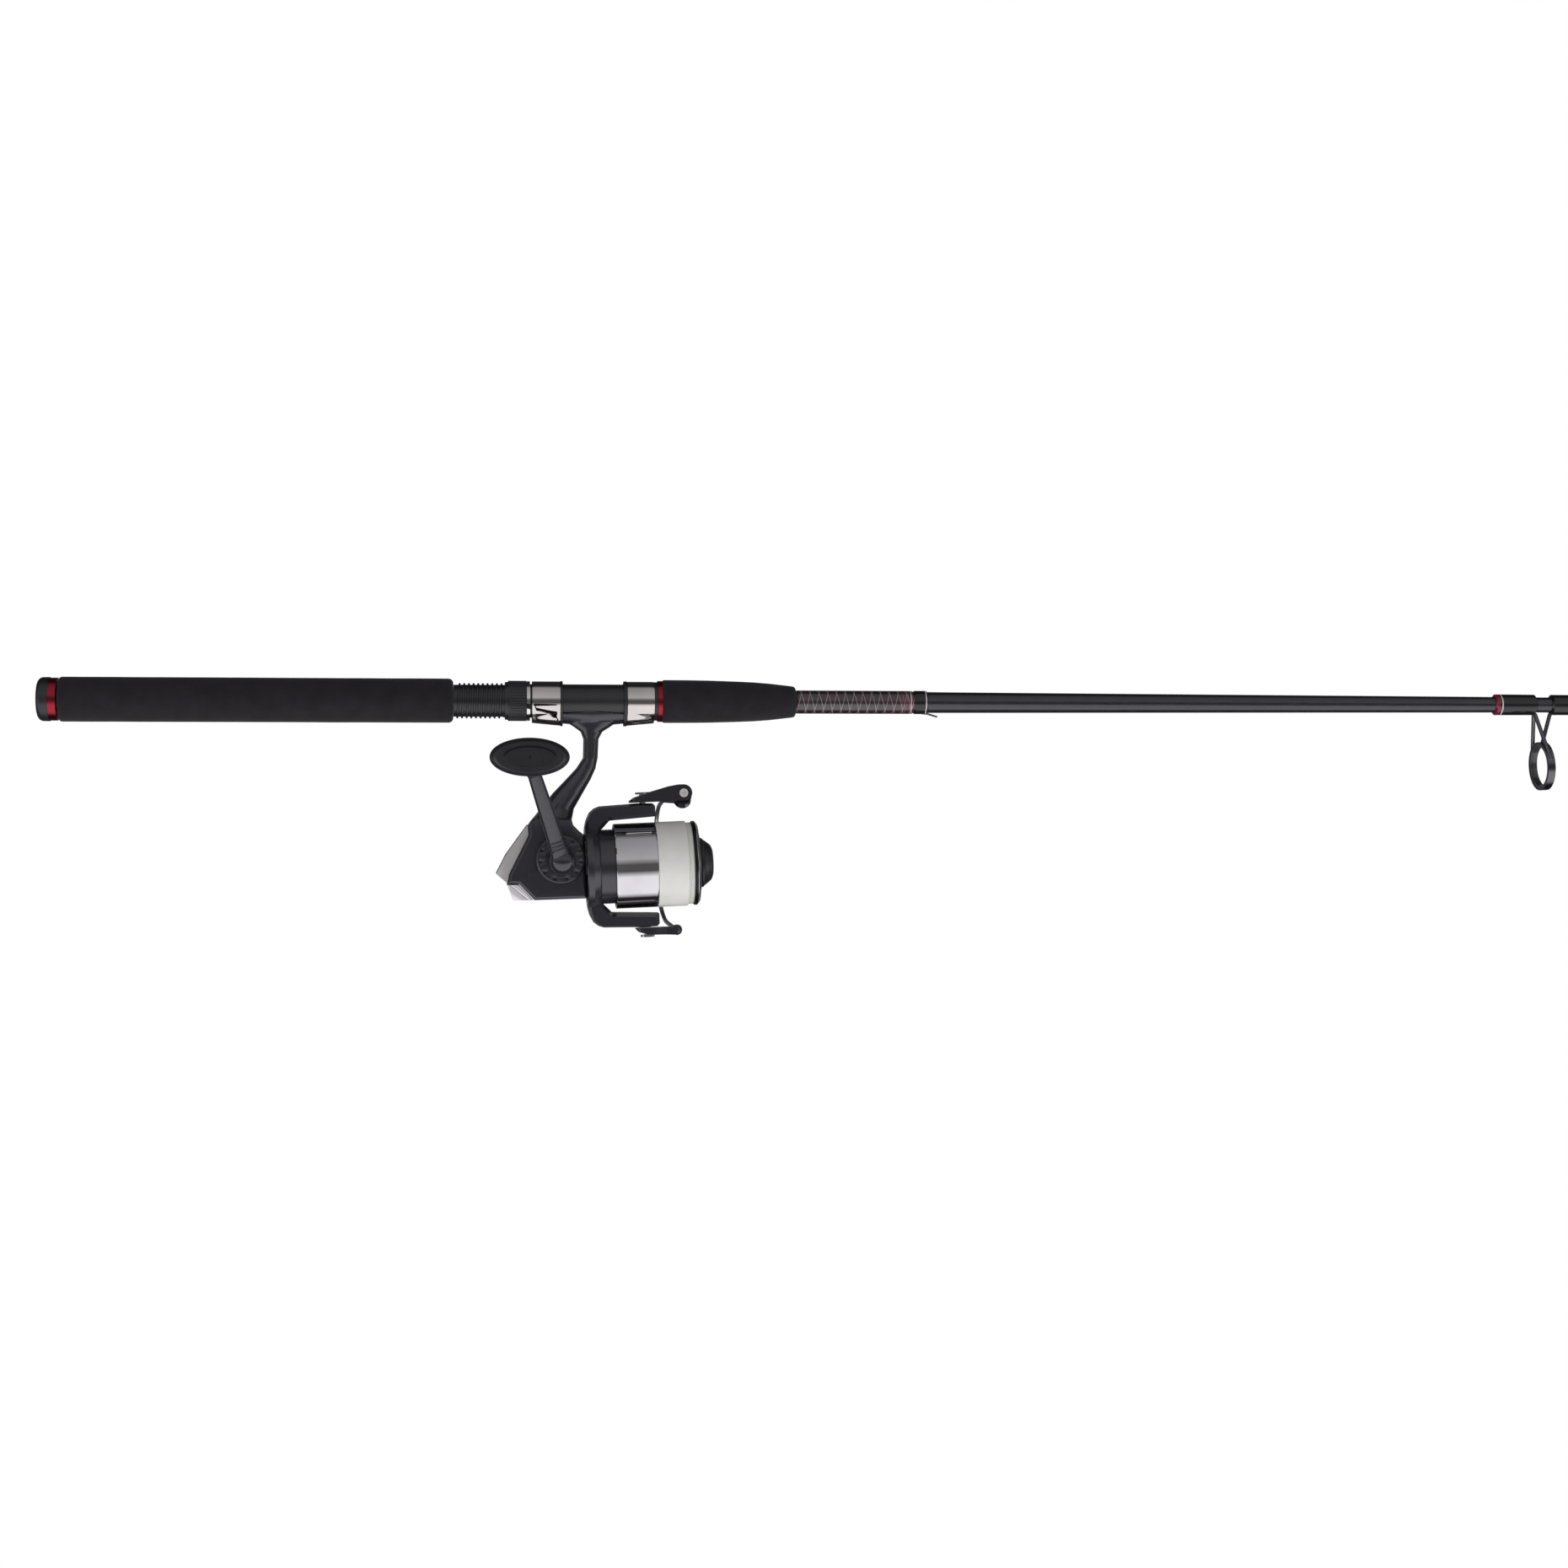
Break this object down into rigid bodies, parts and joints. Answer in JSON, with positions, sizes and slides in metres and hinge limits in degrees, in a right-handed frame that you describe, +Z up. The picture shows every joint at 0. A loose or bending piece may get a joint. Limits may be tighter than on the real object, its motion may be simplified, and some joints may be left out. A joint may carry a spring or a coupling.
{
  "type": "spinning rod and reel",
  "caption": "Two-piece spinning rod with foam grips, ring guides and a screw-lock seat, carrying a spinning reel with crank, rotor, bail and drag.",
  "frame": {"origin": "on the rod's axis at the middle of the rear grip", "axes": "+X along the rod to the tip, +Z up with the reel hanging towards -Z, the crank handle on the -Y side"},
  "size_m": [2.1382, 0.1589, 0.1684],
  "materials": {
    "blank": "gloss clear-coated graphite blank",
    "eva": "matte closed-cell EVA foam",
    "red_anodised": "satin red anodised",
    "seat": "semi-matte moulded nylon",
    "gunmetal": "dark gunmetal chrome",
    "bright_chrome": "bright chrome",
    "black_plastic": "matte black",
    "thread_wrap": "thread under epoxy",
    "black_wrap": "black thread under epoxy",
    "steel": "machined steel",
    "guide_metal": "dark plated steel",
    "ceramic": "polished ceramic",
    "body_paint": "charcoal paint",
    "silver_trim": "satin silver",
    "brass": "machined",
    "zinc": "die-cast zinc",
    "knob": "matte rubber",
    "line": "clear pale line",
    "label": "pale translucent film, plain",
    "dark_plate": "charcoal satin",
    "felt": "felt and steel drag stack"
  },
  "bodies": {
    "rod": {"blank_butt": "blank", "butt_cap": "black_plastic", "butt_ring": "red_anodised", "rear_grip": "eva", "seat_thread": "seat", "reel_seat": "seat", "front_hood": "gunmetal", "front_hood_rim": "black_plastic", "front_collar": "black_plastic", "fore_grip_ring": "red_anodised", "fore_grip": "eva", "diamond_wrap": "thread_wrap", "keeper_wrap": "black_wrap", "hook_keeper": "guide_metal", "guide_1_frame": "guide_metal", "guide_1_ring": "ceramic", "guide_1_wraps": "black_wrap", "reel_body": "body_paint", "side_cover": "body_paint", "body_screws": "steel", "rear_trim": "silver_trim", "lower_trim": "silver_trim", "bearing_cap": "body_paint", "far_cap": "body_paint", "crank_bearings": "steel", "rotor_bearing": "steel"},
    "sliding_hood": {"sliding_hood": "gunmetal", "sliding_hood_rim": "black_plastic"},
    "lock_nut": {"lock_nut": "seat", "lock_nut_ring": "bright_chrome"},
    "tip_section": {"blank_tip": "blank", "ferrule_wrap": "black_wrap", "tip_guide_frames": "guide_metal", "tip_guide_rings": "ceramic", "tip_guide_wraps": "black_wrap", "tip_top": "guide_metal"},
    "crank": {"drive_gear": "zinc", "handle_arm": "dark_plate", "knob_pin": "steel"},
    "knob": {"handle_knob": "knob", "knob_cap": "black_plastic"},
    "crosswind": {"crosswind_gear": "zinc"},
    "rotor": {"rotor": "body_paint", "pinion_gear": "brass", "rotor_nut": "brass", "bail_screws": "bright_chrome"},
    "bail": {"bail_arm": "dark_plate", "bail_lever": "dark_plate", "bail_wire": "steel", "roller_screw": "bright_chrome"},
    "roller": {"line_roller": "guide_metal"},
    "shaft": {"main_shaft": "steel", "slider": "zinc"},
    "spool": {"spool": "body_paint", "spool_band": "gunmetal", "spool_lip": "dark_plate", "line": "line", "line_label": "label", "drag_washers": "felt"},
    "drag_knob": {"drag_knob": "black_plastic"}
  },
  "joints": [
    {"name": "hood_slide", "type": "slide", "parent": "rod", "child": "sliding_hood", "axis": [1, 0, 0], "range_m": [-0.03, 0]},
    {"name": "lock_nut_turn", "type": "hinge", "parent": "sliding_hood", "child": "lock_nut", "pos_m": [0.1655, 0, 0], "axis": [1, 0, 0], "range_deg": [-3600, 0]},
    {"name": "ferrule_pull", "type": "slide", "parent": "rod", "child": "tip_section", "axis": [1, 0, 0], "range_m": [0, 0.068]},
    {"name": "crank_turn", "type": "hinge", "parent": "rod", "child": "crank", "pos_m": [0.193, 0, -0.1025], "axis": [0, 1, 0], "continuous": true},
    {"name": "knob_spin", "type": "hinge", "parent": "crank", "child": "knob", "pos_m": [0.17135, -0.083, -0.03741], "axis": [0, 1, 0], "continuous": true},
    {"name": "crosswind_spin", "type": "hinge", "parent": "rod", "child": "crosswind", "pos_m": [0.17702, 0.007, -0.1101], "axis": [0, 1, 0], "continuous": true},
    {"name": "rotor_spin", "type": "hinge", "parent": "rod", "child": "rotor", "pos_m": [0.22298, 0, -0.108], "axis": [0.9992, 0, 0.0401], "continuous": true},
    {"name": "bail_open", "type": "hinge", "parent": "rotor", "child": "bail", "pos_m": [0.24846, 0, -0.10697], "axis": [0.0401, 0, -0.9992], "range_deg": [0, 115]},
    {"name": "roller_spin", "type": "hinge", "parent": "bail", "child": "roller", "pos_m": [0.27342, 0.0029, -0.06334], "axis": [0.015, 0.9272, -0.3743], "continuous": true},
    {"name": "spool_stroke", "type": "slide", "parent": "rod", "child": "shaft", "axis": [0.9992, 0, 0.0401], "range_m": [-0.003, 0.013]},
    {"name": "spool_drag_spin", "type": "hinge", "parent": "shaft", "child": "spool", "pos_m": [0.26794, 0, -0.10619], "axis": [0.9992, 0, 0.0401], "continuous": true},
    {"name": "drag_knob_turn", "type": "hinge", "parent": "shaft", "child": "drag_knob", "pos_m": [0.28892, 0, -0.10535], "axis": [0.9992, 0, 0.0401], "range_deg": [-1080, 0]}
  ],
  "couplings": [
    {"joint": "hood_slide", "follows": "lock_nut_turn", "m_per_rad": 0.00047746},
    {"joint": "crosswind_spin", "follows": "crank_turn", "ratio": -0.77778},
    {"joint": "rotor_spin", "follows": "crank_turn", "ratio": 4.8889}
  ]
}
